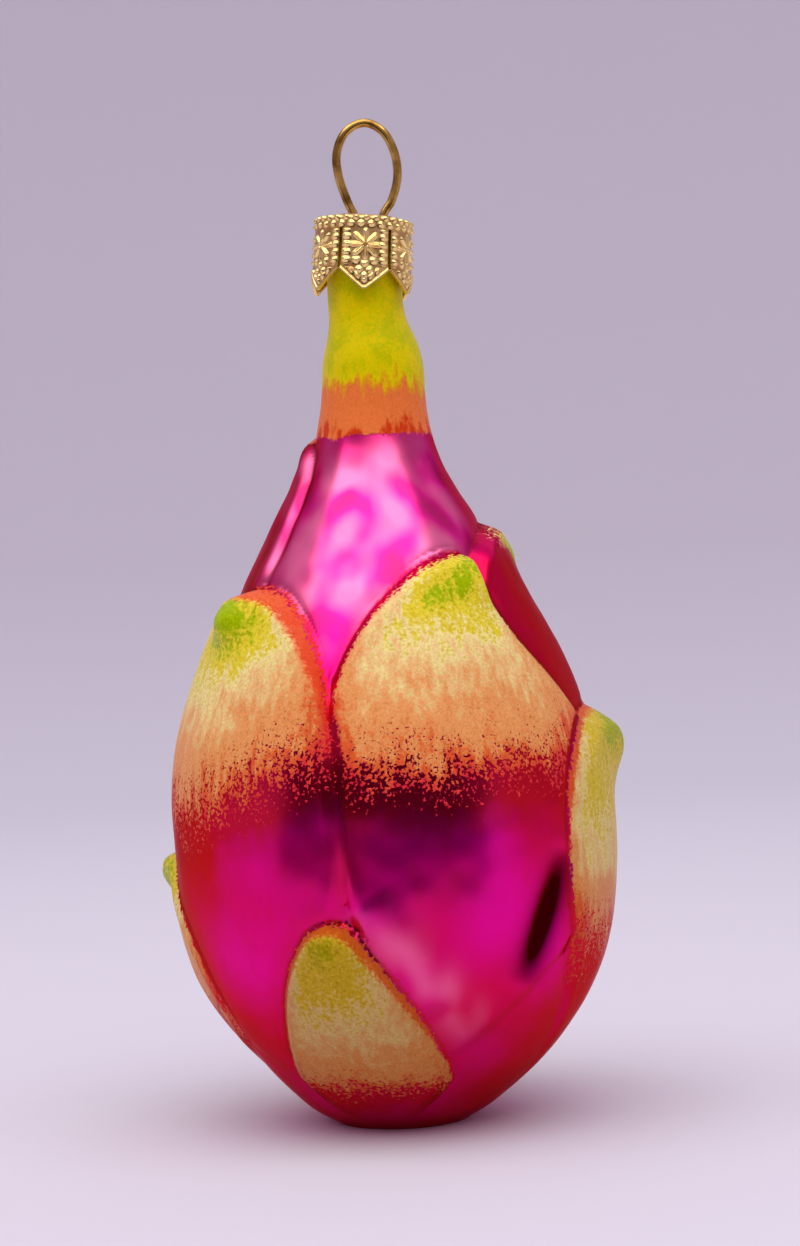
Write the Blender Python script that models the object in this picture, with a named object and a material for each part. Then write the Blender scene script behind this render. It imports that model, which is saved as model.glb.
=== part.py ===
"""A blown glass tree ornament in the shape of a dragon fruit.

The glass fruit is hollow. It was blown into a mould, so its scales are raised from the
same wall, and it narrows to an open neck. A stamped metal crown cap sits over the neck,
and a bent spring wire passes through the cap as a hanging loop and grips the neck inside.

Lengths are in metres and azimuths in degrees. Azimuth 0 faces the viewer, along -Y,
and grows towards +X. The ornament stands on the flat spot under the fruit, at the origin.
"""

import math
from collections import namedtuple

import bmesh
import bpy
import numpy as np
from mathutils import Matrix, Vector

MM = 0.001

# Glass fruit
FOOT_RADIUS = 7.0 * MM
NECK_TOP = 102.3 * MM
GLASS_WALL = 0.8 * MM
INNER_FLOOR = 2.4 * MM
FRUIT_COLUMNS = 72
FRUIT_ROWS = 60
INNER_ROWS = 9
NECK_ROW_SPACING = 2.2

# Height and radius of the fruit under its scales, from the foot to the neck's mouth
FRUIT_PROFILE = (
    (0.0 * MM, FOOT_RADIUS),
    (2.5 * MM, 10.4 * MM),
    (8.5 * MM, 16.2 * MM),
    (16.0 * MM, 21.3 * MM),
    (24.0 * MM, 23.5 * MM),
    (33.0 * MM, 24.1 * MM),
    (42.0 * MM, 23.2 * MM),
    (51.0 * MM, 20.3 * MM),
    (60.0 * MM, 15.8 * MM),
    (68.0 * MM, 11.5 * MM),
    (75.0 * MM, 7.75 * MM),
    (81.0 * MM, 6.2 * MM),
    (87.0 * MM, 5.7 * MM),
    (91.5 * MM, 4.5 * MM),
    (96.0 * MM, 4.3 * MM),
    (NECK_TOP, 4.3 * MM),
)

# How far the fruit's axis wanders sideways at its belly, its shoulder and its neck
BELLY_SHIFT = 0.4 * MM
SHOULDER_SHIFT = 0.2 * MM
NECK_SHIFT = -0.35 * MM

# Shape that every scale shares
SCALE_RISE = 1.45 * MM
SCALE_FADE = 0.95
SCALE_CROWN = 0.25
LIP_RISE = 1.25 * MM
LIP_LENGTH = 7.0 * MM
EDGE_WIDTH = 1.7 * MM
KNOB_RISE = 1.0 * MM
KNOB_RADIUS = 2.9 * MM
KNOB_DROP = 3.2 * MM
CREASE_RADIUS = 0.12 * MM
TIP_BLUNT = 1.7 * MM
FOOT_BLEND = 4.0 * MM

# One scale: the azimuth and height of its tip, how far its two sides reach along the
# surface at its widest height, the lower corner where it closes, how proud it and the
# knob at its tip stand, and how soon each side opens below the tip, lower being blunter
Scale = namedtuple(
    "Scale",
    "azimuth tip left right widest end_azimuth end rise knob left_open right_open",
    defaults=(0.8, 0.8),
)
SCALES = (
    Scale(-118, 79.0 * MM, 16 * MM, 18 * MM, 50 * MM, -112, 28.0 * MM, 0.55, 0.0),
    Scale(106, 68.0 * MM, 26 * MM, 21 * MM, 42 * MM, 108, 12.0 * MM, 0.65, 1.4, 0.6),
    Scale(37, 64.4 * MM, 22.0 * MM, 17.5 * MM, 40 * MM, 4, 5.0 * MM, 1.0, 0.9, 0.8, 2.4),
    Scale(-160, 64.0 * MM, 20 * MM, 20 * MM, 40 * MM, -156, 10.0 * MM, 1.0, 1.2),
    Scale(-57, 61.3 * MM, 24.3 * MM, 19.0 * MM, 33 * MM, -44, 5.0 * MM, 1.15, 1.7, 0.8, 0.7),
    Scale(90, 47.0 * MM, 17 * MM, 18.5 * MM, 31 * MM, 70, 1.0 * MM, 1.15, 1.3, 0.5, 0.7),
    Scale(156, 43.0 * MM, 17 * MM, 17 * MM, 22 * MM, 150, 1.0 * MM, 1.1, 1.2),
    Scale(-103, 31.8 * MM, 15 * MM, 15 * MM, 14 * MM, -103, 3.5 * MM, 0.9, 1.8),
    Scale(-17, 25.2 * MM, 8.2 * MM, 10.2 * MM, 7 * MM, -12, -2.0 * MM, 1.05, 0.5, 0.75, 1.0),
    Scale(-176, 23.0 * MM, 11 * MM, 11 * MM, 6 * MM, -176, -2.0 * MM, 1.05, 0.8),
)

# Crown cap
CAP_CENTRE_X = -0.35 * MM
CAP_TILT = math.radians(5)
CAP_TOP = 103.3 * MM
CAP_HEIGHT = 8.7 * MM
CAP_RADIUS = 5.5 * MM
CAP_FLARE = 0.25 * MM
CAP_SHOULDER = 0.7 * MM
CAP_SHEET = 0.5 * MM
CAP_TABS = 6
CAP_TAB_POINT = 2.3 * MM
CAP_SLIT_WIDTH = 0.45 * MM
CAP_SLIT_TOP = 1.6 * MM
CAP_STEPS_PER_TAB = 12
CAP_HOLE_RADIUS = 0.9 * MM

# Hanging wire
WIRE_RADIUS = 0.54 * MM
WIRE_POINTS = 56
WIRE_LEFT_LEG_X = -1.15 * MM
WIRE_RIGHT_LEG_X = 2.05 * MM
WIRE_ROUTE = (
    (-2.2 * MM, 91.5 * MM),
    (-1.75 * MM, 97.0 * MM),
    (WIRE_LEFT_LEG_X, 102.9 * MM),
    (-2.25 * MM, 106.6 * MM),
    (-2.75 * MM, 109.9 * MM),
    (-2.0 * MM, 112.7 * MM),
    (0.45 * MM, 114.1 * MM),
    (2.75 * MM, 112.2 * MM),
    (3.85 * MM, 108.8 * MM),
    (3.35 * MM, 105.8 * MM),
    (WIRE_RIGHT_LEG_X, 102.9 * MM),
    (2.1 * MM, 97.0 * MM),
    (2.0 * MM, 91.5 * MM),
)


def clear_scene():
    for scene_object in list(bpy.data.objects):
        bpy.data.objects.remove(scene_object, do_unlink=True)


def material(name, colour, metallic, roughness):
    """A plain Principled BSDF material, its colour linear RGB."""
    made = bpy.data.materials.new(name)
    made.use_nodes = True
    shader = made.node_tree.nodes["Principled BSDF"]
    shader.inputs["Base Color"].default_value = (*colour, 1.0)
    shader.inputs["Metallic"].default_value = metallic
    shader.inputs["Roughness"].default_value = roughness
    return made


def mesh_object(name, mesh, finish):
    made = bpy.data.objects.new(name, mesh)
    bpy.context.collection.objects.link(made)
    mesh.materials.append(finish)
    mesh.shade_smooth()
    return made


def smooth_step(low, high, value):
    part = np.clip((value - low) / (high - low), 0.0, 1.0)
    return part * part * (3.0 - 2.0 * part)


def catmull_rom(points, positions):
    """A smooth curve through the points, read at positions from 0 to 1 along it."""
    points = np.array(points, dtype=float)
    first = 2.0 * points[0] - points[1]
    last = 2.0 * points[-1] - points[-2]
    points = np.vstack((first, points, last))
    place = np.asarray(positions, dtype=float) * (len(points) - 3)
    span = np.minimum(place.astype(int), len(points) - 4)
    t = (place - span)[:, None]
    before, start, end, after = (points[span + step] for step in range(4))
    return 0.5 * (
        2.0 * start
        + (end - before) * t
        + (2.0 * before - 5.0 * start + 4.0 * end - after) * t**2
        + (3.0 * start - before - 3.0 * end + after) * t**3
    )


def profile_curve(count=400):
    """Heights and radii along the fruit's profile, close together."""
    return catmull_rom(FRUIT_PROFILE, np.linspace(0.0, 1.0, count)).T


PROFILE_HEIGHTS, PROFILE_RADII = profile_curve()


def base_radius(height):
    return np.interp(height, PROFILE_HEIGHTS, PROFILE_RADII)


def scale_sides(scale, height):
    """The azimuths of a scale's left and right edges at each height, in degrees."""
    opening = np.clip((scale.tip - height) / (scale.tip - scale.widest), 0.0, 1.0)
    closing = np.clip((scale.widest - height) / (scale.widest - scale.end), 0.0, 1.0)
    left_spread = np.sin(0.5 * np.pi * opening**scale.left_open)
    right_spread = np.sin(0.5 * np.pi * opening**scale.right_open)
    gather = np.cos(0.5 * np.pi * closing)
    per_metre = np.degrees(1.0 / base_radius(np.maximum(height, scale.widest)))
    middle = scale.end_azimuth + (scale.azimuth - scale.end_azimuth) * gather
    round_tip = np.clip((scale.tip - height) / TIP_BLUNT, 0.0, 1.0)
    round_tip = TIP_BLUNT * np.sqrt(1.0 - (1.0 - round_tip) ** 2)
    left = scale.left * left_spread + round_tip * (1.0 - left_spread)
    right = scale.right * right_spread + round_tip * (1.0 - right_spread)
    return middle - left * per_metre * gather, middle + right * per_metre * gather


def turn_between(azimuth, reference):
    return (azimuth - reference + 180.0) % 360.0 - 180.0


def scale_relief(scale, azimuth, height):
    """How far one scale stands out of the fruit at each azimuth and height."""
    left, right = scale_sides(scale, height)
    turned = turn_between(azimuth, 0.5 * (left + right))
    arc = np.radians(1.0) * base_radius(height)
    half_width = np.maximum(0.5 * (right - left) * arc, 1e-6)
    to_side = half_width - np.abs(turned) * arc
    step = 0.2 * MM
    left_below, right_below = scale_sides(scale, height - step)
    side_run = np.where(turned < 0.0, left - left_below, right_below - right)
    slope = side_run * arc / step
    edge = np.clip(to_side / np.sqrt(1.0 + slope**2) / EDGE_WIDTH, 0.0, 1.0)
    wall = 1.0 - (1.0 - edge) ** 2
    drop = scale.tip - height
    fade = 1.0 - SCALE_FADE * np.clip(drop / (scale.tip - scale.end), 0.0, 1.0) ** 1.5
    crown = 1.0 - SCALE_CROWN * (np.abs(turned) * arc / half_width) ** 2
    lip = LIP_RISE * np.exp(-np.maximum(drop, 0.0) / LIP_LENGTH)
    across = turn_between(azimuth, scale.azimuth) * arc
    knob = np.exp(-((drop - KNOB_DROP) ** 2 + across**2) / KNOB_RADIUS**2)
    body = SCALE_RISE * fade * crown + lip + scale.knob * KNOB_RISE * knob
    inside = (drop > 0.0) & (height > scale.end) & (to_side > 0.0)
    return np.where(inside, scale.rise * body * wall, 0.0)


def fruit_relief(azimuth, height):
    """The outermost of all the scales, with a small radius in the creases."""
    outer = np.zeros_like(height)
    for scale in SCALES:
        relief = scale_relief(scale, azimuth, height)
        nearness = np.clip(1.0 - np.abs(outer - relief) / CREASE_RADIUS, 0.0, 1.0)
        outer = np.maximum(outer, relief) + 0.25 * CREASE_RADIUS * nearness**2
    return outer * smooth_step(0.0, FOOT_BLEND, height)


def axis_shift(height):
    """How far the fruit's axis lies from the foot's, along X, at each height."""
    belly = smooth_step(0.0, 8.0 * MM, height)
    belly *= 1.0 - smooth_step(24.0 * MM, 42.0 * MM, height)
    shoulder = smooth_step(78.0 * MM, 86.0 * MM, height)
    neck = smooth_step(88.0 * MM, 94.0 * MM, height)
    return BELLY_SHIFT * belly + SHOULDER_SHIFT * shoulder * (1.0 - neck) + NECK_SHIFT * neck


def ring(bm, height, radii, azimuths, shift):
    """One ring of vertices round the fruit's axis."""
    return [
        bm.verts.new(
            (
                shift + radius * math.sin(azimuth),
                -radius * math.cos(azimuth),
                height,
            )
        )
        for radius, azimuth in zip(radii, azimuths)
    ]


def join_rings(bm, below, above):
    count = len(below)
    for i in range(count):
        after = (i + 1) % count
        bm.faces.new((below[i], below[after], above[after], above[i]))


def fruit_heights():
    """Heights of the fruit's rows: evenly spaced along the scales, wider on the neck."""
    steps = np.hypot(np.diff(PROFILE_HEIGHTS), np.diff(PROFILE_RADII))
    on_neck = PROFILE_HEIGHTS[1:] > max(scale.tip for scale in SCALES[1:])
    steps = np.where(on_neck, steps / NECK_ROW_SPACING, steps)
    lengths = np.concatenate(([0.0], np.cumsum(steps)))
    places = np.linspace(0.0, lengths[-1], FRUIT_ROWS)
    return np.interp(places, lengths, PROFILE_HEIGHTS)


def make_fruit(finish):
    """The hollow glass fruit: scaled outside, smooth inside, open at the neck."""
    bm = bmesh.new()
    degrees = np.arange(FRUIT_COLUMNS) * 360.0 / FRUIT_COLUMNS
    azimuths = np.radians(degrees)
    outside = []
    for height in fruit_heights():
        level = np.full(FRUIT_COLUMNS, height)
        radii = base_radius(level) + fruit_relief(degrees, level)
        outside.append(ring(bm, height, radii, azimuths, float(axis_shift(height))))
    inside = []
    for height in np.linspace(NECK_TOP, INNER_FLOOR, INNER_ROWS):
        level = np.full(FRUIT_COLUMNS, height)
        radii = base_radius(level - GLASS_WALL * (height < NECK_TOP)) - GLASS_WALL
        inside.append(ring(bm, height, radii, azimuths, float(axis_shift(height))))
    for below, above in zip(outside, outside[1:]):
        join_rings(bm, below, above)
    join_rings(bm, outside[-1], inside[0])
    for above, below in zip(inside, inside[1:]):
        join_rings(bm, above, below)
    bm.faces.new(list(reversed(outside[0])))
    bm.faces.new(inside[-1])
    mesh = bpy.data.meshes.new("glass_fruit")
    bm.to_mesh(mesh)
    bm.free()
    fruit = mesh_object("glass_fruit", mesh, finish)
    mesh.set_sharp_from_angle(angle=math.radians(50))
    return fruit


def cap_profile():
    """The cap's outer side as distance from its axis and depth below its top."""
    corner = [
        (
            CAP_RADIUS - CAP_SHOULDER * (1.0 - math.sin(turn)),
            CAP_SHOULDER * (1.0 - math.cos(turn)),
        )
        for turn in np.radians((0.0, 30.0, 60.0, 90.0))
    ]
    return corner


def cap_ring(bm, radius, depths, angles):
    return [
        bm.verts.new((radius * math.sin(angle), -radius * math.cos(angle), -depth))
        for angle, depth in zip(angles, depths)
    ]


def make_cap_shell(finish):
    """The cap before its slits and holes: a cup with six pointed tabs round its rim."""
    bm = bmesh.new()
    count = CAP_TABS * CAP_STEPS_PER_TAB
    angles = [2.0 * math.pi * i / count for i in range(count)]
    tab = 2.0 * math.pi / CAP_TABS
    off_centre = [abs((angle + tab / 2) % tab - tab / 2) / (tab / 2) for angle in angles]
    rim = [CAP_HEIGHT - CAP_TAB_POINT * off for off in off_centre]
    outer = [
        cap_ring(bm, radius, [depth] * count, angles) for radius, depth in cap_profile()
    ]
    inner = [
        cap_ring(
            bm,
            radius - CAP_SHEET * depth / CAP_SHOULDER,
            [max(depth, CAP_SHEET)] * count,
            angles,
        )
        for radius, depth in (cap_profile()[0], cap_profile()[-1])
    ]
    middle = CAP_HEIGHT - CAP_TAB_POINT
    outer.append(cap_ring(bm, CAP_RADIUS + 0.7 * CAP_FLARE, [middle] * count, angles))
    inner.append(
        cap_ring(bm, CAP_RADIUS + 0.7 * CAP_FLARE - CAP_SHEET, [middle] * count, angles)
    )
    rim = [max(depth, middle + 0.05 * MM) for depth in rim]
    outer.append(cap_ring(bm, CAP_RADIUS + CAP_FLARE, rim, angles))
    inner.append(cap_ring(bm, CAP_RADIUS + CAP_FLARE - CAP_SHEET, rim, angles))
    for above, below in zip(outer, outer[1:]):
        join_rings(bm, below, above)
    for above, below in zip(inner, inner[1:]):
        join_rings(bm, above, below)
    join_rings(bm, inner[-1], outer[-1])
    bm.faces.new(outer[0])
    bm.faces.new(list(reversed(inner[0])))
    mesh = bpy.data.meshes.new("crown_cap")
    bm.to_mesh(mesh)
    bm.free()
    return mesh_object("crown_cap", mesh, finish)


def cutter(name, mesh_maker, **sizes):
    """An object that only cuts: it isn't part of the ornament."""
    bm = bmesh.new()
    mesh_maker(bm, **sizes)
    mesh = bpy.data.meshes.new(name)
    bm.to_mesh(mesh)
    bm.free()
    made = bpy.data.objects.new(name, mesh)
    bpy.context.collection.objects.link(made)
    made.hide_render = True
    made.display_type = "WIRE"
    return made


def cut(target, tool):
    boolean = target.modifiers.new(tool.name, "BOOLEAN")
    boolean.operation = "DIFFERENCE"
    boolean.solver = "EXACT"
    boolean.object = tool


def make_cap(finish):
    """The stamped crown cap, slit between its tabs and pierced for the wire."""
    cap = make_cap_shell(finish)
    lean = Matrix.Rotation(CAP_TILT, 4, "Y")
    cap.matrix_world = Matrix.Translation((CAP_CENTRE_X, 0.0, CAP_TOP)) @ lean
    slit_height = CAP_HEIGHT
    for i in range(CAP_TABS // 2):
        slit = cutter(f"slit_cutter_{i}", bmesh.ops.create_cube, size=1.0)
        span = 3.0 * CAP_RADIUS
        slit.data.transform(Matrix.Diagonal((CAP_SLIT_WIDTH, span, slit_height, 1.0)))
        slit.data.transform(
            Matrix.Translation((0.0, 0.0, -CAP_SLIT_TOP - slit_height / 2))
        )
        turn = Matrix.Rotation(math.pi * (i + 0.5) / (CAP_TABS // 2), 4, "Z")
        slit.matrix_world = cap.matrix_world @ turn
        cut(cap, slit)
    for name, leg_x in (("left", WIRE_LEFT_LEG_X), ("right", WIRE_RIGHT_LEG_X)):
        hole = cutter(
            f"{name}_hole_cutter",
            bmesh.ops.create_cone,
            cap_ends=True,
            segments=16,
            radius1=CAP_HOLE_RADIUS,
            radius2=CAP_HOLE_RADIUS,
            depth=4.0 * CAP_SHEET,
        )
        hole.location = (leg_x, 0.0, CAP_TOP - (leg_x - CAP_CENTRE_X) * math.sin(CAP_TILT))
        cut(cap, hole)
    return cap


def make_wire(finish):
    """The hanging wire: a pear-shaped loop whose legs spread inside the neck."""
    route = [(x, 0.0, z) for x, z in WIRE_ROUTE]
    points = catmull_rom(route, np.linspace(0.0, 1.0, WIRE_POINTS))
    curve = bpy.data.curves.new("wire_hanger", "CURVE")
    curve.dimensions = "3D"
    curve.bevel_depth = WIRE_RADIUS
    curve.bevel_resolution = 2
    curve.use_fill_caps = True
    spline = curve.splines.new("POLY")
    spline.points.add(len(points) - 1)
    for spline_point, place in zip(spline.points, points):
        spline_point.co = (*Vector(place), 1.0)
    wire = bpy.data.objects.new("wire_hanger", curve)
    bpy.context.collection.objects.link(wire)
    curve.materials.append(finish)
    return wire


def main():
    clear_scene()
    lacquered_glass = material("lacquered_glass", (0.62, 0.0, 0.13), 0.55, 0.22)
    gold_cap = material("gold_cap", (0.83, 0.56, 0.22), 1.0, 0.3)
    brass_wire = material("brass_wire", (0.45, 0.27, 0.08), 1.0, 0.25)
    make_fruit(lacquered_glass)
    make_cap(gold_cap)
    make_wire(brass_wire)


main()
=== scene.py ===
"""A blown glass dragon fruit ornament: silvered glass, lacquer, painted scales, cap, wire."""

import functools
import math
from collections import namedtuple
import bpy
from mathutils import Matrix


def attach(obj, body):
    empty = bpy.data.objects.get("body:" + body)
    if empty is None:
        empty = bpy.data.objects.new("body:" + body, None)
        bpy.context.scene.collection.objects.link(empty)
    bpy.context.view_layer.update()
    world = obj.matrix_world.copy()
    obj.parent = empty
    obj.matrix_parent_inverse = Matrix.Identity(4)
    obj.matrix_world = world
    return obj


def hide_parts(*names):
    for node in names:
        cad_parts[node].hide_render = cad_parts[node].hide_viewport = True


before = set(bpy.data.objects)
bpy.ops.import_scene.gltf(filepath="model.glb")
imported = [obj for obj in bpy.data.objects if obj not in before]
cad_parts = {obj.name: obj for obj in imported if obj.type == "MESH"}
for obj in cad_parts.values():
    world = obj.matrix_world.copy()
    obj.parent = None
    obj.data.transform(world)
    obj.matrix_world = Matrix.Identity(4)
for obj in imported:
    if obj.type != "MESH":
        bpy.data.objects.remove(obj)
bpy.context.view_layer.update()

from types import SimpleNamespace

import bpy
import numpy as np
from mathutils import Matrix, Vector
from mathutils.kdtree import KDTree

MM = 0.001


# The glass fruit. A tube of clear glass blown into a mould, so its scales are raised from
# one thin wall, then silvered inside and closed only by the cap over its open neck.
# It is shaped here from one fine grid wrapped round the fruit's axis, seam and foot closed.
FRUIT_COLUMNS = 320
FRUIT_ROWS = 270
FOOT_RADIUS = 7.7 * MM
NECK_TOP = 102.3 * MM
GLASS_WALL = 0.8 * MM
NECK_DEPTH = 16.0 * MM
FRUIT_PROFILE = (
    (0.0 * MM, FOOT_RADIUS),
    (2.5 * MM, 11.5 * MM),
    (8.5 * MM, 17.3 * MM),
    (16.0 * MM, 21.9 * MM),
    (24.0 * MM, 23.8 * MM),
    (33.0 * MM, 24.1 * MM),
    (42.0 * MM, 23.2 * MM),
    (51.0 * MM, 20.3 * MM),
    (60.0 * MM, 15.8 * MM),
    (68.0 * MM, 11.5 * MM),
    (75.0 * MM, 7.75 * MM),
    (81.0 * MM, 6.2 * MM),
    (87.0 * MM, 5.7 * MM),
    (91.5 * MM, 4.5 * MM),
    (96.0 * MM, 4.3 * MM),
    (NECK_TOP, 4.3 * MM),
)
BELLY_SHIFT = 0.4 * MM
SHOULDER_SHIFT = 0.2 * MM
NECK_SHIFT = -0.35 * MM
SCALE_RISE = 1.45 * MM
SCALE_CROWN = 0.25
LIP_RISE = 1.25 * MM
LIP_LENGTH = 7.0 * MM
EDGE_WIDTH = 1.7 * MM
SLOPE_LENGTH = 7.0 * MM
KNOB_RISE = 1.15 * MM
KNOB_RADIUS = 2.5 * MM
KNOB_DROP = 3.2 * MM
TIP_BLUNT = 1.7 * MM
FOOT_BLEND = 4.0 * MM
STEP_OVER = 0.32 * MM
RIM_ROLL = 0.16 * MM
RIM_INSET = 1.3 * MM
RIM_WIDTH = 0.6 * MM
GROOVE_DEPTH = 0.15 * MM
GROOVE_WIDTH = 0.55 * MM
OUTLINE_SAMPLES = 1400
SLOW_RIPPLE = 0.09 * MM
FINE_RIPPLE = 0.026 * MM
FLUTE_RISE = 0.10 * MM
PANEL_OPENS = (52.0 * MM, 62.0 * MM)
PANEL_CLOSES = (74.0 * MM, 80.0 * MM)

# The same scales as the solid's. Each adds its look. In mm: where its paint changes below its
# tip (green to yellow, yellow to peach, peach to flecks, the last fleck), how far the green
# spreads round its knob, how far in from its edge the paint frays, how wide its red rim is, how
# much of its left side is bare, and how wide the slope round its tip is. As plain numbers: the
# body of its paint, 1 where it is opaque, and how much sooner the paint ends to the right.
Scale = namedtuple(
    "Scale",
    "azimuth tip left right widest end_azimuth end rise knob left_open right_open"
    " paint green body fray rim bare slope slant",
    defaults=(0.8, 0.8, (5, 12, 20, 28), 4.0, 1.0, 0.5, 1.0, 0.0, 1.7, 0.0),
)
SCALES = (
    Scale(-118, 79.0 * MM, 16 * MM, 18 * MM, 50 * MM, -112, 28.0 * MM, 0.55, 0.0, paint=()),
    Scale(106, 68.0 * MM, 26 * MM, 21 * MM, 42 * MM, 108, 12.0 * MM, 0.65, 1.4, 0.6,
          paint=(5, 11, 16, 27), green=8.0, fray=3.0, rim=0.4, bare=10.5),
    Scale(37, 64.4 * MM, 22.0 * MM, 17.5 * MM, 40 * MM, 4, 5.0 * MM, 1.0, 0.9, 0.8, 2.4,
          paint=(5.4, 11.2, 20.5, 27.0), green=6.5, fray=0.9, rim=0.3),
    Scale(-160, 64.0 * MM, 20 * MM, 20 * MM, 40 * MM, -156, 10.0 * MM, 1.0, 1.2),
    Scale(-57, 61.3 * MM, 24.3 * MM, 19.0 * MM, 33 * MM, -44, 5.0 * MM, 1.15, 1.7, 0.8, 0.7,
          paint=(7.5, 12.5, 20.5, 29), green=5.0, rim=1.1, slant=0.42),
    Scale(90, 47.0 * MM, 17 * MM, 18.5 * MM, 31 * MM, 70, 1.0 * MM, 1.15, 1.3, 0.5, 0.7,
          paint=(6, 18, 22, 31), green=8.0, body=0.74, fray=0.7, rim=0.9, slope=5.0),
    Scale(156, 43.0 * MM, 17 * MM, 17 * MM, 22 * MM, 150, 1.0 * MM, 1.1, 1.2),
    Scale(-103, 31.8 * MM, 15 * MM, 15 * MM, 14 * MM, -103, 3.5 * MM, 0.9, 1.8,
          paint=(6, 9, 14, 24), green=9.0, body=0.9, rim=0.3),
    Scale(-17, 25.2 * MM, 8.2 * MM, 10.2 * MM, 7 * MM, -12, -2.0 * MM, 1.05, 0.5, 0.75, 1.0,
          paint=(4.5, 13.0, 18, 20.5), green=3.8, body=0.47, fray=0.3, rim=0.9),
    Scale(-176, 23.0 * MM, 11 * MM, 11 * MM, 6 * MM, -176, -2.0 * MM, 1.05, 0.8,
          paint=(6, 11, 16, 19), body=0.8),
)
UNPAINTED = 5.0
LAST_FLECKS = 4.0
FAR_INSIDE = 20.0 * MM
WORN_INSET = 6.0 * MM

# Where a change starts and where it is complete: the wearing away of a scale's edge, as parts
# of the way down it; the relief of the scales under it, inwards from its edge; and, below its
# tip, the narrowing of its red rim and the widening of its bare side
EDGE_WEARS = (0.55, 0.9)
LAYER_FADES = (0.3 * MM, 4.0 * MM)
RIM_NARROWS = (7.0 * MM, 17.0 * MM)
BARE_WIDENS = (1.5 * MM, 8.0 * MM)

# A crease pressed into the glass and a ridge raised on it: from, to, rise and half width
CREASE = ((49.5, 30.2 * MM), (37.5, 18.0 * MM), -0.95 * MM, 1.7 * MM)
RIDGE = ((-5.5, 26.0 * MM), (24.0, 12.5 * MM), 0.50 * MM, 2.3 * MM)


def smooth_step(low, high, value):
    part = np.clip((value - low) / (high - low), 0.0, 1.0)
    return part * part * (3.0 - 2.0 * part)


def catmull_rom(points, positions):
    """A smooth curve through the points, read at positions from 0 to 1 along it."""
    points = np.array(points, dtype=float)
    first = 2.0 * points[0] - points[1]
    last = 2.0 * points[-1] - points[-2]
    points = np.vstack((first, points, last))
    place = np.asarray(positions, dtype=float) * (len(points) - 3)
    span = np.minimum(place.astype(int), len(points) - 4)
    t = (place - span)[:, None]
    before, start, end, after = (points[span + step] for step in range(4))
    return 0.5 * (
        2.0 * start
        + (end - before) * t
        + (2.0 * before - 5.0 * start + 4.0 * end - after) * t**2
        + (3.0 * start - before - 3.0 * end + after) * t**3
    )


PROFILE_HEIGHTS, PROFILE_RADII = catmull_rom(FRUIT_PROFILE, np.linspace(0.0, 1.0, 400)).T


def base_radius(height):
    return np.interp(height, PROFILE_HEIGHTS, PROFILE_RADII)


def axis_shift(height):
    belly = smooth_step(0.0, 8.0 * MM, height)
    belly = belly * (1.0 - smooth_step(24.0 * MM, 42.0 * MM, height))
    shoulder = smooth_step(78.0 * MM, 86.0 * MM, height)
    neck = smooth_step(88.0 * MM, 94.0 * MM, height)
    return BELLY_SHIFT * belly + SHOULDER_SHIFT * shoulder * (1.0 - neck) + NECK_SHIFT * neck


def scale_sides(scale, height):
    """The azimuths of a scale's left and right edges at each height, in degrees."""
    opening = np.clip((scale.tip - height) / (scale.tip - scale.widest), 0.0, 1.0)
    closing = np.clip((scale.widest - height) / (scale.widest - scale.end), 0.0, 1.0)
    left_spread = np.sin(0.5 * np.pi * opening**scale.left_open)
    right_spread = np.sin(0.5 * np.pi * opening**scale.right_open)
    gather = np.cos(0.5 * np.pi * closing)
    per_metre = np.degrees(1.0 / base_radius(np.maximum(height, scale.widest)))
    middle = scale.end_azimuth + (scale.azimuth - scale.end_azimuth) * gather
    round_tip = np.clip((scale.tip - height) / TIP_BLUNT, 0.0, 1.0)
    round_tip = TIP_BLUNT * np.sqrt(1.0 - (1.0 - round_tip) ** 2)
    left = scale.left * left_spread + round_tip * (1.0 - left_spread)
    right = scale.right * right_spread + round_tip * (1.0 - right_spread)
    return middle - left * per_metre * gather, middle + right * per_metre * gather


def turn_between(azimuth, reference):
    return (azimuth - reference + 180.0) % 360.0 - 180.0


def on_profile(azimuth, height):
    """Points of the bare profile, before its scales are raised."""
    turn = np.radians(azimuth)
    radius = base_radius(height)
    return np.stack((radius * np.sin(turn), -radius * np.cos(turn), height), axis=-1)


def outline_distance(scale, points):
    """How far each point lies from a scale's outline, inside or outside it."""
    run = np.linspace(0.0, 1.0, OUTLINE_SAMPLES) ** 2
    heights = scale.tip - (scale.tip - scale.end) * run
    outline = np.vstack([on_profile(side, heights) for side in scale_sides(scale, heights)])
    tree = KDTree(len(outline))
    for i, place in enumerate(outline):
        tree.insert(place, i)
    tree.balance()
    return np.array([tree.find(point)[2] for point in points])


def stroke_relief(points, start, end, rise, width):
    """A pressed crease or a raised ridge on the front, a soft line with tapered ends."""
    first, last = (on_profile(np.array(a), np.array(z)) for a, z in (start, end))
    along = (points - first) @ (last - first) / np.sum((last - first) ** 2)
    foot = first + np.clip(along, 0.0, 1.0)[:, None] * (last - first)
    away = points - foot
    away[:, 1] *= 0.3
    taper = np.sin(np.pi * np.clip(0.08 + 0.84 * along, 0.0, 1.0)) ** 0.6
    on_front = points[:, 1] < 0.0
    return on_front * rise * taper * np.exp(-np.sum(away**2, axis=1) / width**2)


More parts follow.
